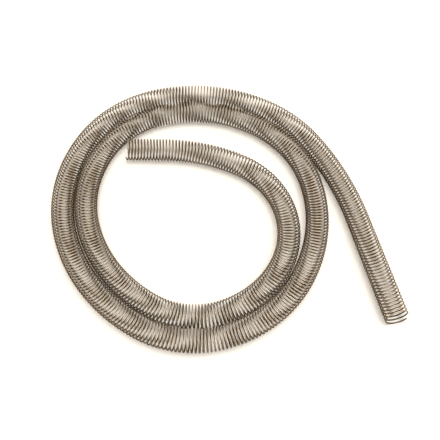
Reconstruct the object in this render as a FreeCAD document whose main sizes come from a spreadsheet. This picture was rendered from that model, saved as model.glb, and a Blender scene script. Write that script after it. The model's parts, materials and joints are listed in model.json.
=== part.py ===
"""Brewing filter spring: one length of thin stainless wire wound into a long open helix, which lies
on the table in two and a bit clockwise laps.

The route is the line that the middle of the helix follows, a chain of straights and tangent bends.
The wire winds round it with four quarter-turn arcs to a turn.  Each stretch of the route is a
sub-part of its own, so the spring is a row of stretches that meet face to face, wire end to wire
end.  All sizes are in millimetres and degrees; +X is to the right, +Y to the back and +Z up.
"""
import FreeCAD, Part
import math
import os

from FreeCAD import Placement, Rotation, Vector

# Driving sizes: (name, value, what it is).
SIZES = [
    ("wire_diameter", 1.0, "thickness of the drawn wire"),
    ("coil_diameter", 18.0, "outside diameter of the helix"),
    ("winding_pitch", 2.6, "advance of one turn along the route"),
    ("lap_clearance", 0.2, "gap between a lap and the lap beside it"),
    ("mouth_clearance", 0.3, "gap between the rim of the inner mouth and the first lap"),
    ("inner_cut_angle", 180.0, "where the wire starts round the helix, 0 at its left side, 90 on top"),
    ("outer_cut_angle", 25.0, "how far short of the helix's left side the wire is cut at the far end"),
    ("first_heading_angle", -1.45, "direction in which the route leaves the inner mouth"),
    ("mouth_length", 39.0, "straight length behind the outer mouth"),
    ("easing_radius", 139.0, "gentle bend after the inner mouth"),
    ("easing_angle", 25.0, "turn of that bend"),
    ("gather_radius", 70.0, "tighter bend that brings the route round into the first lap"),
    ("gather_angle", 93.75, "turn of that bend"),
    ("front_right_radius", 76.0, "first lap, first of its eight bends"),
    ("front_radius", 62.0, "first lap, second bend"),
    ("left_radius", 98.5, "first lap, fourth bend"),
    ("back_radius", 102.5, "first lap, sixth bend"),
    ("back_right_radius", 92.0, "first lap, seventh bend"),
    ("right_radius", 122.5, "first lap, eighth bend"),
    ("second_lap_angle", 297.0, "how far the second lap follows the first before it leaves"),
    ("tail_radius", 237.0, "slack bend in which the route leaves the second lap"),
    ("tail_angle", 19.5, "turn of that bend"),
    ("tail_length", 48.5, "straight length between that bend and the outer mouth"),
    ("piece_angle", 15.0, "most that one length of wire turns along the route"),
    ("piece_length", 45.0, "most that one length of wire advances along a straight"),
]

# The eight bends of a lap in the order in which the route runs through them.
LAP_BENDS = ["front_right", "front", "front_left", "left", "back_left", "back", "back_right", "right"]
# The two of them whose radii follow from the rest, because a lap has to end beside its own start.
CLOSING_BENDS = ["front_left", "back_left"]
LAP_BEND_TURN = 360.0 / len(LAP_BENDS)
TANGENTS_PER_BEND = 90
QUARTERS_PER_TURN = 4
QUARTER_ANGLE = 360.0 / QUARTERS_PER_TURN


def make_sheet(document):
    """Put the driving sizes into a spreadsheet, each cell under its own alias."""
    sheet = document.addObject("Spreadsheet::Sheet", "sizes")
    for row, (alias, value, meaning) in enumerate(SIZES, start=1):
        sheet.set("A%d" % row, alias)
        sheet.set("B%d" % row, str(value))
        sheet.set("C%d" % row, meaning)
        sheet.setAlias("B%d" % row, alias)
    document.recompute()
    return sheet


def direction(heading):
    """Unit vector in the plane of the table at a heading, anticlockwise from +X."""
    return Vector(math.cos(math.radians(heading)), math.sin(math.radians(heading)), 0)


def lap_radii(sheet, heading, spacing):
    """Radii of the first lap's bends.

    The chords of one lap's bends add up to one step of the spacing, straight outwards, and that
    gives the two closing bends.  The second lap then runs beside the first all the way round.
    """
    outward = [direction(heading + 90 - LAP_BEND_TURN * i) for i in range(len(LAP_BENDS) + 1)]
    chord = {name: outward[i + 1] - outward[i] for i, name in enumerate(LAP_BENDS)}
    radii = {name: sheet.get(name + "_radius") for name in LAP_BENDS if name not in CLOSING_BENDS}
    left_over = outward[0] * spacing
    for name, radius in radii.items():
        left_over = left_over - chord[name] * radius
    one, other = CLOSING_BENDS
    area = chord[one].cross(chord[other]).z
    radii[one] = left_over.cross(chord[other]).z / area
    radii[other] = chord[one].cross(left_over).z / area
    return [radii[name] for name in LAP_BENDS]


class Route:
    """The line that the middle of the helix follows, laid out stretch by stretch."""

    def __init__(self, stretches, heading, height):
        self.stretches = []
        point = Vector(0, 0, height)
        start = 0.0
        for name, radius, amount in stretches:
            length = amount if radius is None else radius * math.radians(amount)
            stretch = {"name": name, "radius": radius, "start": start, "length": length,
                       "point": point, "heading": heading}
            self.stretches.append(stretch)
            point, heading = self.along(stretch, length)
            start += length
        self.length = start

    @staticmethod
    def along(stretch, distance):
        """Point and heading at a distance into a stretch; every bend turns clockwise."""
        if stretch["radius"] is None:
            return stretch["point"] + direction(stretch["heading"]) * distance, stretch["heading"]
        heading = stretch["heading"] - math.degrees(distance / stretch["radius"])
        outward = direction(heading + 90) - direction(stretch["heading"] + 90)
        return stretch["point"] + outward * stretch["radius"], heading

    def station(self, distance):
        """Point and heading at a distance from the inner mouth."""
        stretch = self.stretches[0]
        for later in self.stretches:
            if later["start"] <= distance:
                stretch = later
        return self.along(stretch, distance - stretch["start"])


def inner_mouth_length(sheet, stretches):
    """Straight length that brings the inner mouth's rim up to the first lap, but for the clearance.

    The first lap is the last of the stretches given.  It is convex, so the rim stays clear of it as
    long as it stays inside each of the lap's tangents.
    """
    heading = sheet.get("first_heading_angle")
    room = sheet.get("coil_diameter") / 2 + sheet.get("mouth_clearance")
    rim = direction(heading + 90) * (sheet.get("coil_diameter") / 2)
    backwards = direction(heading) * -1
    lengths = []
    for stretch in Route(stretches, heading, 0).stretches[-len(LAP_BENDS):]:
        for step in range(TANGENTS_PER_BEND):
            point, along = Route.along(stretch, stretch["length"] * step / TANGENTS_PER_BEND)
            outward = direction(along + 90)
            approach = backwards.dot(outward)
            if approach > 0:
                lengths.append(((point - rim).dot(outward) - room) / approach)
    return min(lengths)


def list_stretches(sheet):
    """The route's stretches as (name, radius, turn or length); a radius of None is a straight."""
    spacing = sheet.get("coil_diameter") + sheet.get("lap_clearance")
    lap_heading = sheet.get("first_heading_angle") - sheet.get("easing_angle") - sheet.get("gather_angle")
    radii = lap_radii(sheet, lap_heading, spacing)
    stretches = [
        ("easing_bend", sheet.get("easing_radius"), sheet.get("easing_angle")),
        ("gather_bend", sheet.get("gather_radius"), sheet.get("gather_angle")),
    ]
    for name, radius in zip(LAP_BENDS, radii):
        stretches.append(("first_lap_" + name, radius, LAP_BEND_TURN))
    stretches.insert(0, ("inner_mouth", None, inner_mouth_length(sheet, stretches)))
    turn_left = sheet.get("second_lap_angle")
    for name, radius in zip(LAP_BENDS, radii):
        turn = min(LAP_BEND_TURN, turn_left)
        if turn > 0:
            stretches.append(("second_lap_" + name, radius + spacing, turn))
        turn_left -= turn
    stretches += [
        ("tail_bend", sheet.get("tail_radius"), sheet.get("tail_angle")),
        ("tail_straight", None, sheet.get("tail_length")),
        ("outer_mouth", None, sheet.get("mouth_length")),
    ]
    return stretches


def wind_wire(route, pitch, radius, first_angle, cut_angle):
    """Quarter-turn arcs of the wire's centre line, and the advance of one quarter turn.

    The corners of a square that is drawn out along the route lie a quarter turn apart, and one arc
    rounds each corner, from the middle of one side to the middle of the next.  The helix is
    right-handed.  It ends half a turn round from its start, cut back by the given angle.
    """
    turns = round(route.length / pitch - 0.5) + 0.5
    quarters = round(turns * QUARTERS_PER_TURN)
    advance = route.length / quarters
    corner_radius = radius / math.cos(math.radians(QUARTER_ANGLE / 2))

    def corner(index):
        point, heading = route.station((index + 0.5) * advance)
        angle = math.radians(first_angle + (index + 0.5) * QUARTER_ANGLE)
        across = direction(heading + 90) * (corner_radius * math.cos(angle))
        return point + across + Vector(0, 0, corner_radius * math.sin(angle))

    corners = [corner(index) for index in range(-1, quarters + 1)]
    setback = (corners[1] - corners[0]).Length / 2
    arcs = []
    for before, here, after in zip(corners, corners[1:], corners[2:]):
        arriving = (here - before).normalize()
        leaving = (after - here).normalize()
        half_turn = arriving.getAngle(leaving) / 2
        arc_radius = setback / math.tan(half_turn)
        inward = (leaving - arriving).normalize()
        middle = here + inward * (arc_radius / math.cos(half_turn) - arc_radius)
        arcs.append(Part.Arc(here - arriving * setback, middle, here + leaving * setback).toShape())
        setback = (after - here).Length - setback
    last = arcs[-1]
    kept = (last.LastParameter - last.FirstParameter) * (1 - cut_angle / QUARTER_ANGLE)
    arcs[-1] = Part.Edge(last.Curve, last.FirstParameter, last.FirstParameter + kept)
    return arcs, advance


def count_pieces(stretch, sheet):
    """Number of lengths of wire in a stretch, so that none of them bends or reaches far."""
    if stretch["radius"] is None:
        return math.ceil(stretch["length"] / sheet.get("piece_length"))
    turn = math.degrees(stretch["length"] / stretch["radius"])
    return math.ceil(turn / sheet.get("piece_angle"))


def sweep_wire(document, name, arcs):
    """One length of wire: a circle of the wire's size swept along its arcs."""
    spine = document.addObject("Part::Feature", name + "_line")
    spine.Shape = Part.Wire(arcs)
    section = document.addObject("Part::Circle", name + "_section")
    section.setExpression("Radius", "sizes.wire_diameter / 2")
    start = arcs[0].valueAt(arcs[0].FirstParameter)
    forward = arcs[0].tangentAt(arcs[0].FirstParameter)
    section.Placement = Placement(start, Rotation(Vector(0, 0, 1), forward))
    sweep = document.addObject("Part::Sweep", name + "_wire")
    sweep.Sections = [section]
    sweep.Spine = (spine, [])
    sweep.Solid = True
    sweep.Frenet = True
    return sweep, spine


def make_stretch(document, sheet, stretch, arcs, advance):
    """A sub-part: the turns of wire along one stretch of the route."""
    pieces = count_pieces(stretch, sheet)
    marks = [round((stretch["start"] + stretch["length"] * i / pieces) / advance) for i in range(pieces + 1)]
    sweeps = []
    spines = []
    for number, (first, last) in enumerate(zip(marks, marks[1:]), start=1):
        sweep, spine = sweep_wire(document, "%s_%d" % (stretch["name"], number), arcs[first:last])
        sweeps.append(sweep)
        spines.append(spine)
    part = document.addObject("Part::Compound", stretch["name"])
    part.Label = stretch["name"]
    part.Links = sweeps
    return part, spines


def outline(spines, wire_radius):
    """Lowest and highest corners of the wire round all its centre lines."""
    box = FreeCAD.BoundBox()
    for spine in spines:
        for edge in spine.Shape.Edges:
            box.add(edge.BoundBox)
    box.enlarge(wire_radius)
    return box


def check(document, parts, sheet, spines):
    """Stop before anything is written if an object failed, or a length of wire isn't all there."""
    for item in document.Objects:
        if "Invalid" in item.State or "Error" in item.State:
            raise RuntimeError("%s didn't recompute: %s" % (item.Name, item.State))
    section = math.pi * sheet.get("wire_diameter") ** 2 / 4
    for part in parts:
        if part.Shape.isNull() or not part.Shape.isValid():
            raise RuntimeError("%s has no valid shape" % part.Name)
        length = sum(spine.Shape.Length for spine in spines[part.Name])
        if abs(part.Shape.Volume - section * length) > 1e-4 * section * length:
            raise RuntimeError("%s isn't as big as its wire" % part.Name)


def main():
    document = FreeCAD.newDocument("filter_spring")
    sheet = make_sheet(document)
    wire_radius = sheet.get("wire_diameter") / 2
    winding_radius = sheet.get("coil_diameter") / 2 - wire_radius
    route = Route(list_stretches(sheet), sheet.get("first_heading_angle"), sheet.get("coil_diameter") / 2)
    arcs, advance = wind_wire(route, sheet.get("winding_pitch"), winding_radius,
                              sheet.get("inner_cut_angle"), sheet.get("outer_cut_angle"))
    parts = []
    spines = {}
    for stretch in route.stretches:
        part, spines[part.Name] = make_stretch(document, sheet, stretch, arcs, advance)
        parts.append(part)
    box = outline([spine for group in spines.values() for spine in group], wire_radius)
    for part in parts:
        part.Placement = Placement(Vector(-box.Center.x, -box.Center.y, -box.ZMin), Rotation())
    document.recompute()
    check(document, parts, sheet, spines)

    os.makedirs("parts", exist_ok=True)
    for part in parts:
        part.Shape.exportStep("parts/%s.step" % part.Label)

    for stretch in route.stretches:
        print("%-24s radius %s length %6.1f" % (stretch["name"], stretch["radius"], stretch["length"]))
    print("route %.1f mm, %.2f turns, pitch %.4f mm" % (route.length, len(arcs) / 4, advance * 4))
    print("wire %.2f m" % (sum(arc.Length for arc in arcs) / 1000))
    print("box %.2f x %.2f x %.2f mm" % (box.XLength, box.YLength, box.ZLength))


main()
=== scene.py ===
"""Brewing filter spring: one thin stainless wire wound into a long open helix, in a pale studio.

The wire is wound here again over the CAD stretches, at the same place and size, as a light mesh with
coordinates along the wire, so that the marks of the drawing die can run along it.
"""
import json
import math

import bpy
import numpy as np
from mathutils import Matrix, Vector


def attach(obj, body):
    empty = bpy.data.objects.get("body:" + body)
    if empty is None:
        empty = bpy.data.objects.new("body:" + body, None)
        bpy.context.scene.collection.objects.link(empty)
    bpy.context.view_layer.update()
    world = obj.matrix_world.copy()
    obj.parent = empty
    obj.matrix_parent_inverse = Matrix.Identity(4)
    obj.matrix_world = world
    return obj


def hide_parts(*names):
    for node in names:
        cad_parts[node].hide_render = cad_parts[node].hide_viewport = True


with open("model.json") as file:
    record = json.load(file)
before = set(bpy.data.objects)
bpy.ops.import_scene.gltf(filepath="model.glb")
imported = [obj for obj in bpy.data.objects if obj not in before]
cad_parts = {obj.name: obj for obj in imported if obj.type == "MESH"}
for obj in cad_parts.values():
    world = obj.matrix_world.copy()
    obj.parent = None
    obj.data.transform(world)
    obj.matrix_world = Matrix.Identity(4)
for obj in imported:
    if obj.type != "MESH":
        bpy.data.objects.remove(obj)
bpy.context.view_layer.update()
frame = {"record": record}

# The spring's sizes, in metres and degrees.
MM = 0.001
WIRE_RADIUS = 0.5 * MM
COIL_RADIUS = 9 * MM
WINDING_RADIUS = COIL_RADIUS - WIRE_RADIUS
PITCH = 2.6 * MM
LAP_CLEARANCE = 0.2 * MM
SPACING = 2 * COIL_RADIUS + LAP_CLEARANCE
INNER_CUT_ANGLE = 180
OUTER_CUT_ANGLE = 25
QUARTERS_PER_TURN = 4
QUARTER_ANGLE = 360 / QUARTERS_PER_TURN

# The route: the leading bends, the eight bends of a lap, and the tail, as (name, radius, turn).
EASING = ("easing_bend", 139 * MM, 25)
GATHER = ("gather_bend", 70 * MM, 93.75)
TAIL = ("tail_bend", 237 * MM, 19.5)
TAIL_LENGTH = 48.5 * MM
OUTER_MOUTH_LENGTH = 39 * MM
LAP_BEND_TURN = 45
SECOND_LAP_TURN = 297
LAP_BENDS = ["front_right", "front", "front_left", "left", "back_left", "back", "back_right", "right"]
LAP_RADII = {"front_right": 76 * MM, "front": 62 * MM, "left": 98.5 * MM,
             "back": 102.5 * MM, "back_right": 92 * MM, "right": 122.5 * MM}
CLOSING_BENDS = ["front_left", "back_left"]

# How finely the wire's mesh is made.
WIRE_SIDES = 12
STEPS_PER_QUARTER = 8
ROUTE_STEP = 1 * MM
SMOOTH_BELOW_ANGLE = 50

# The camera, aimed near the middle of the spring. Its tilt is counted from looking straight down.
AIM = Vector((-0.0009, -0.0140, 0.009))
CAMERA_DISTANCE = 0.53832
CAMERA_TILT = 31.5
LENS = 56.45
SENSOR = 36.0
NEAREST_SEEN = 0.02
FARTHEST_SEEN = 20

# The studio. The sky fades up to a height that is the sine of its angle above the horizon.
FLOOR_SIZE = 200.0
FLOOR_GAP = 0.1 * MM
KEY_FROM = Vector((0.40, -0.50, 3.7))
KEY_SPREAD = 45
KEY_STRENGTH = 2.75
HORIZON_STRENGTH = 1.0
SKY_STRENGTH = 0.15
HORIZON_HEIGHT = 0.3
PAPER_LIT = (0.8, 0.8, 0.8, 1)
PAPER_SEEN = (1.19, 1.12, 1.01, 1)

# The steel: a lit tone, painted light, on the outside of the turns and towards the top,
# with a darker brown tone, painted shade, elsewhere.
LIT_STEEL_DARK = (0.63, 0.505, 0.355, 1)
LIT_STEEL_LIGHT = (0.81, 0.67, 0.505, 1)
SHADED_STEEL_DARK = (0.135, 0.09, 0.048, 1)
SHADED_STEEL_LIGHT = (0.24, 0.167, 0.098, 1)
TONE_DARK_AT = 0.35
TONE_LIGHT_AT = 0.65
PATCH_SCALE = 60
NOISE_DETAIL = 3

# Where the painted shade ends and the painted light is reached: outwards from the wire's middle, and in
# height.
SHADED_INSIDE = 0.0
LIT_OUTSIDE = 0.42 * MM
SHADED_BELOW = 10 * MM
LIT_ABOVE = 18 * MM

# The draw marks, which are far longer along the wire than across it.
MARK_SCALE = 9000
MARK_STRETCH = (0.02, 1, 1)
MARK_STRENGTH = 0.35
MARK_DEPTH = 0.02 * MM
ROUGH_LOW = 0.5
ROUGH_HIGH = 0.7


def direction(heading):
    """Unit vector on the floor at a heading, anticlockwise from +X."""
    return Vector((math.cos(math.radians(heading)), math.sin(math.radians(heading)), 0))


def turn_clockwise(point, heading, radius, turn):
    """Where a clockwise bend ends."""
    outward = direction(heading - turn + 90) - direction(heading + 90)
    return point + outward * radius, heading - turn


def close_lap(heading):
    """All eight radii of the first lap: the two closing bends bring it round to beside its start."""
    outward = [direction(heading + 90 - LAP_BEND_TURN * i) for i in range(len(LAP_BENDS) + 1)]
    chord = {name: outward[i + 1] - outward[i] for i, name in enumerate(LAP_BENDS)}
    left_over = outward[0] * SPACING
    for name, radius in LAP_RADII.items():
        left_over = left_over - chord[name] * radius
    one, other = CLOSING_BENDS
    area = chord[one].cross(chord[other]).z
    closing = {one: left_over.cross(chord[other]).z / area, other: chord[one].cross(left_over).z / area}
    return [{**LAP_RADII, **closing}[name] for name in LAP_BENDS]


def lay_route():
    """The stretches of the route, each with its name, radius, start, length, point and heading.

    The first straight takes up what is left between the two mouths.
    """
    mounts = {mount["name"]: mount for mount in frame["record"]["mounts"]}
    start = Vector(mounts["inner_mouth"]["pos_m"])
    first = -Vector(mounts["inner_mouth"]["axis"])
    heading = math.degrees(math.atan2(first.y, first.x))
    radii = close_lap(heading - EASING[2] - GATHER[2])
    bends = [EASING, GATHER]
    bends += [("first_lap_" + name, radius, LAP_BEND_TURN) for name, radius in zip(LAP_BENDS, radii)]
    turn_left = SECOND_LAP_TURN
    for name, radius in zip(LAP_BENDS, radii):
        if turn_left > 0:
            bends.append(("second_lap_" + name, radius + SPACING, min(LAP_BEND_TURN, turn_left)))
        turn_left -= LAP_BEND_TURN
    bends.append(TAIL)

    point, along = start, heading
    for name, radius, turn in bends:
        point, along = turn_clockwise(point, along, radius, turn)
    end = point + direction(along) * (TAIL_LENGTH + OUTER_MOUTH_LENGTH)
    inner_mouth_length = (Vector(mounts["outer_mouth"]["pos_m"]) - end).dot(direction(heading))

    stretches = []
    point, along, distance = start, heading, 0.0
    straights = [("tail_straight", None, TAIL_LENGTH), ("outer_mouth", None, OUTER_MOUTH_LENGTH)]
    for name, radius, amount in [("inner_mouth", None, inner_mouth_length)] + bends + straights:
        length = amount if radius is None else radius * math.radians(amount)
        stretches.append({"name": name, "radius": radius, "turn": 0 if radius is None else amount,
                          "start": distance, "length": length, "point": point, "heading": along})
        if radius is None:
            point = point + direction(along) * length
        else:
            point, along = turn_clockwise(point, along, radius, amount)
        distance += length
    return stretches


def draw_route(stretches):
    """The route as a curve in short steps, along which the straight-wound wire is bent."""
    points = []
    for stretch in stretches:
        steps = math.ceil(stretch["length"] / ROUTE_STEP)
        for step in range(steps):
            share = step / steps
            if stretch["radius"] is None:
                point = stretch["point"] + direction(stretch["heading"]) * (stretch["length"] * share)
            else:
                point, _ = turn_clockwise(stretch["point"], stretch["heading"],
                                          stretch["radius"], stretch["turn"] * share)
            points.append(point)
    points.append(points[-1] + direction(stretches[-1]["heading"]) * ROUTE_STEP)
    data = bpy.data.curves.new("route", "CURVE")
    data.dimensions = "3D"
    data.twist_mode = "Z_UP"
    data.use_deform_bounds = False
    spline = data.splines.new("POLY")
    spline.points.add(len(points) - 1)
    for knot, point in zip(spline.points, points):
        knot.co = (*point, 1)
    route = bpy.data.objects.new("route", data)
    bpy.context.scene.collection.objects.link(route)
    return route


def select_only(piece):
    """Make a piece the only selected one, and the active one."""
    bpy.ops.object.select_all(action="DESELECT")
    piece.select_set(True)
    bpy.context.view_layer.objects.active = piece


def apply_modifier(piece, kind, **settings):
    """Add a modifier with these settings and apply it to the piece's mesh at once."""
    modifier = piece.modifiers.new(kind.lower(), kind)
    for name, value in settings.items():
        setattr(modifier, name, value)
    select_only(piece)
    bpy.ops.object.modifier_apply(modifier=modifier.name)


def wind_stretch(stretch, advance, route, last):
    """One stretch of the wire: a circle wound up on a straight axis, then bent along the route."""
    first_quarter = round(stretch["start"] / advance)
    quarters = round((stretch["start"] + stretch["length"]) / advance) - first_quarter
    if last:
        quarters -= OUTER_CUT_ANGLE / QUARTER_ANGLE
    bpy.ops.object.select_all(action="DESELECT")
    bpy.ops.mesh.primitive_circle_add(vertices=WIRE_SIDES, radius=WIRE_RADIUS,
                                      location=(first_quarter * advance, WINDING_RADIUS, 0))
    wire = bpy.context.object
    wire.name = "wire_" + stretch["name"]
    bpy.ops.object.transform_apply(location=True)
    wire.rotation_euler.x = math.radians(INNER_CUT_ANGLE + first_quarter * QUARTER_ANGLE)
    bpy.ops.object.transform_apply(rotation=True)

    steps = round(quarters * STEPS_PER_QUARTER)
    apply_modifier(wire, "SCREW", axis="X", angle=math.radians(quarters * QUARTER_ANGLE),
                   screw_offset=quarters * advance, steps=steps, render_steps=steps)
    note_wire_coordinates(wire, first_quarter, quarters, advance)
    close_ends(wire)
    apply_modifier(wire, "CURVE", object=route, deform_axis="POS_X")
    select_only(wire)
    bpy.ops.object.shade_smooth_by_angle(angle=math.radians(SMOOTH_BELOW_ANGLE))
    return wire


def note_wire_coordinates(wire, first_quarter, quarters, advance):
    """Give each vertex its place along the unwound wire and across it, in metres."""
    mesh = wire.data
    places = np.empty(len(mesh.vertices) * 3)
    mesh.vertices.foreach_get("co", places)
    places = places.reshape(-1, WIRE_SIDES, 3)
    rings = len(places)
    turn_length = 2 * math.pi * WINDING_RADIUS
    along = (first_quarter + quarters * np.arange(rings) / (rings - 1)) / QUARTERS_PER_TURN * turn_length
    drawn = np.empty_like(places)
    drawn[..., 0] = along[:, None]
    drawn[..., 1] = np.hypot(places[..., 1], places[..., 2]) - WINDING_RADIUS
    drawn[..., 2] = places[..., 0] - places[..., 0].mean(axis=1, keepdims=True)
    attribute = mesh.attributes.new("along_wire", "FLOAT_VECTOR", "POINT")
    attribute.data.foreach_set("vector", drawn.ravel())


def close_ends(wire):
    """A flat face across each end of the wire, and all faces outwards."""
    select_only(wire)
    bpy.ops.object.mode_set(mode="EDIT")
    bpy.ops.mesh.select_all(action="SELECT")
    bpy.ops.mesh.fill_holes(sides=WIRE_SIDES)
    bpy.ops.mesh.select_all(action="SELECT")
    bpy.ops.mesh.normals_make_consistent(inside=False)
    bpy.ops.object.mode_set(mode="OBJECT")


def wind_spring(steel):
    """Every stretch of the wire, each in the place of its CAD node."""
    stretches = lay_route()
    length = sum(stretch["length"] for stretch in stretches)
    quarters = round((round(length / PITCH - 0.5) + 0.5) * QUARTERS_PER_TURN)
    route = draw_route(stretches)
    for stretch in stretches:
        wire = wind_stretch(stretch, length / quarters, route, stretch is stretches[-1])
        wire.data.materials.append(steel)
        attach(wire, "root")
        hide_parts(stretch["name"])
    bpy.data.objects.remove(route)


def make_camera():
    """A camera in front of the spring that looks down on it."""
    tilt = math.radians(CAMERA_TILT)
    back = Vector((0, -math.sin(tilt), math.cos(tilt)))
    data = bpy.data.cameras.new("camera")
    data.lens = LENS
    data.sensor_width = SENSOR
    data.clip_start = NEAREST_SEEN
    data.clip_end = FARTHEST_SEEN
    camera = bpy.data.objects.new("camera", data)
    camera.location = AIM + back * CAMERA_DISTANCE
    camera.rotation_euler = (tilt, 0, 0)
    bpy.context.scene.collection.objects.link(camera)
    bpy.context.scene.camera = camera


def make_key_light():
    """One broad, even light from high up in front and to the right."""
    data = bpy.data.lights.new("key", "SUN")
    data.angle = math.radians(KEY_SPREAD)
    data.energy = KEY_STRENGTH
    lamp = bpy.data.objects.new("key", data)
    lamp.rotation_euler = (-KEY_FROM).to_track_quat("-Z", "Y").to_euler()
    bpy.context.scene.collection.objects.link(lamp)


def light_world():
    """A sky that is white at the horizon, where it meets the floor, and dim and even higher up."""
    world = bpy.data.worlds.new("studio")
    world.use_nodes = True
    bpy.context.scene.world = world
    nodes = world.node_tree.nodes
    links = world.node_tree.links
    nodes.clear()
    place = nodes.new("ShaderNodeTexCoord")
    split = nodes.new("ShaderNodeSeparateXYZ")
    fade = nodes.new("ShaderNodeMapRange")
    fade.inputs["From Min"].default_value = 0
    fade.inputs["From Max"].default_value = HORIZON_HEIGHT
    fade.inputs["To Min"].default_value = HORIZON_STRENGTH
    fade.inputs["To Max"].default_value = SKY_STRENGTH
    sky = nodes.new("ShaderNodeBackground")
    sky.inputs["Color"].default_value = (1, 1, 1, 1)
    output = nodes.new("ShaderNodeOutputWorld")
    links.new(place.outputs["Generated"], split.inputs["Vector"])
    links.new(split.outputs["Z"], fade.inputs["Value"])
    links.new(fade.outputs["Result"], sky.inputs["Strength"])
    links.new(sky.outputs["Background"], output.inputs["Surface"])


def seen_directly(nodes, links):
    """1 where the camera, a glossy reflection or clear glass looks at a surface, otherwise 0."""
    path = nodes.new("ShaderNodeLightPath")
    total = path.outputs["Is Camera Ray"]
    for kind in ("Is Glossy Ray", "Is Transmission Ray"):
        either = nodes.new("ShaderNodeMath")
        either.operation = "MAXIMUM"
        links.new(total, either.inputs[0])
        links.new(path.outputs[kind], either.inputs[1])
        total = either.outputs["Value"]
    return total


def white_paper():
    """Floor paper: white where it is looked at, and it still takes the spring's shadow."""
    paper = bpy.data.materials.new("white_paper")
    paper.use_nodes = True
    nodes = paper.node_tree.nodes
    links = paper.node_tree.links
    nodes.clear()
    lit = nodes.new("ShaderNodeBsdfDiffuse")
    lit.inputs["Color"].default_value = PAPER_LIT
    seen = nodes.new("ShaderNodeBsdfDiffuse")
    seen.inputs["Color"].default_value = PAPER_SEEN
    choose = nodes.new("ShaderNodeMixShader")
    output = nodes.new("ShaderNodeOutputMaterial")
    links.new(seen_directly(nodes, links), choose.inputs["Fac"])
    links.new(lit.outputs["BSDF"], choose.inputs[1])
    links.new(seen.outputs["BSDF"], choose.inputs[2])
    links.new(choose.outputs["Shader"], output.inputs["Surface"])
    return paper


def lay_floor():
    """A wide sheet of the paper, just under the spring."""
    bpy.ops.object.select_all(action="DESELECT")
    bpy.ops.mesh.primitive_plane_add(size=FLOOR_SIZE, location=(0, 0, -FLOOR_GAP))
    floor = bpy.context.object
    floor.name = "floor"
    bpy.ops.object.transform_apply(location=True, rotation=True, scale=True)
    floor.data.materials.append(white_paper())


def two_tone(nodes, dark, light):
    """A colour ramp between two tones of the same finish."""
    ramp = nodes.new("ShaderNodeValToRGB")
    start, end = ramp.color_ramp.elements
    start.position = TONE_DARK_AT
    start.color = dark
    end.position = TONE_LIGHT_AT
    end.color = light
    return ramp


def rise(nodes, low, high):
    """0 below one value, 1 above the other, and smooth between them."""
    ease = nodes.new("ShaderNodeMapRange")
    ease.interpolation_type = "SMOOTHSTEP"
    ease.inputs["From Min"].default_value = low
    ease.inputs["From Max"].default_value = high
    return ease


def drawn_stainless():
    """Drawn stainless wire, with fine draw marks along it.

    It has painted light, a lighter tone, on the outside of the turns and towards the top of the coil.
    Inside the turns and low down it has painted shade, a darker brown tone. Both tones vary a little in
    patches.
    """
    steel = bpy.data.materials.new("drawn_stainless")
    steel.use_nodes = True
    nodes = steel.node_tree.nodes
    links = steel.node_tree.links
    shader = nodes["Principled BSDF"]
    shader.inputs["Metallic"].default_value = 1.0

    place = nodes.new("ShaderNodeTexCoord")
    patches = nodes.new("ShaderNodeTexNoise")
    patches.inputs["Scale"].default_value = PATCH_SCALE
    patches.inputs["Detail"].default_value = NOISE_DETAIL
    # Lit and shaded copies of the steel: the darker brown one is painted shade.
    lit_steel = two_tone(nodes, LIT_STEEL_DARK, LIT_STEEL_LIGHT)
    shaded_steel = two_tone(nodes, SHADED_STEEL_DARK, SHADED_STEEL_LIGHT)
    links.new(place.outputs["Object"], patches.inputs["Vector"])
    links.new(patches.outputs["Fac"], lit_steel.inputs["Fac"])
    links.new(patches.outputs["Fac"], shaded_steel.inputs["Fac"])

    along = nodes.new("ShaderNodeAttribute")
    along.attribute_name = "along_wire"
    across = nodes.new("ShaderNodeSeparateXYZ")
    height = nodes.new("ShaderNodeSeparateXYZ")
    # Painted shade inside the turns: darker on the wire's inner half, lighter towards its outside.
    outside = rise(nodes, SHADED_INSIDE, LIT_OUTSIDE)
    # Painted shade low down and painted light towards the top of the coil.
    above = rise(nodes, SHADED_BELOW, LIT_ABOVE)
    lit_share = nodes.new("ShaderNodeMath")
    lit_share.operation = "MULTIPLY"
    tint = nodes.new("ShaderNodeMix")
    tint.data_type = "RGBA"
    links.new(along.outputs["Vector"], across.inputs["Vector"])
    links.new(across.outputs["Y"], outside.inputs["Value"])
    links.new(place.outputs["Object"], height.inputs["Vector"])
    links.new(height.outputs["Z"], above.inputs["Value"])
    links.new(outside.outputs["Result"], lit_share.inputs[0])
    links.new(above.outputs["Result"], lit_share.inputs[1])
    links.new(lit_share.outputs["Value"], tint.inputs["Factor"])
    links.new(shaded_steel.outputs["Color"], tint.inputs["A"])
    links.new(lit_steel.outputs["Color"], tint.inputs["B"])
    links.new(tint.outputs["Result"], shader.inputs["Base Color"])

    stretch = nodes.new("ShaderNodeMapping")
    stretch.inputs["Scale"].default_value = MARK_STRETCH
    marks = nodes.new("ShaderNodeTexNoise")
    marks.inputs["Scale"].default_value = MARK_SCALE
    marks.inputs["Detail"].default_value = NOISE_DETAIL
    gloss = nodes.new("ShaderNodeMapRange")
    gloss.inputs["To Min"].default_value = ROUGH_LOW
    gloss.inputs["To Max"].default_value = ROUGH_HIGH
    bump = nodes.new("ShaderNodeBump")
    bump.inputs["Strength"].default_value = MARK_STRENGTH
    bump.inputs["Distance"].default_value = MARK_DEPTH
    links.new(along.outputs["Vector"], stretch.inputs["Vector"])
    links.new(stretch.outputs["Vector"], marks.inputs["Vector"])
    links.new(marks.outputs["Fac"], gloss.inputs["Value"])
    links.new(gloss.outputs["Result"], shader.inputs["Roughness"])
    links.new(marks.outputs["Fac"], bump.inputs["Height"])
    links.new(bump.outputs["Normal"], shader.inputs["Normal"])
    return steel


bpy.context.scene.view_settings.view_transform = "Standard"
make_camera()
light_world()
make_key_light()
lay_floor()
wind_spring(drawn_stainless())
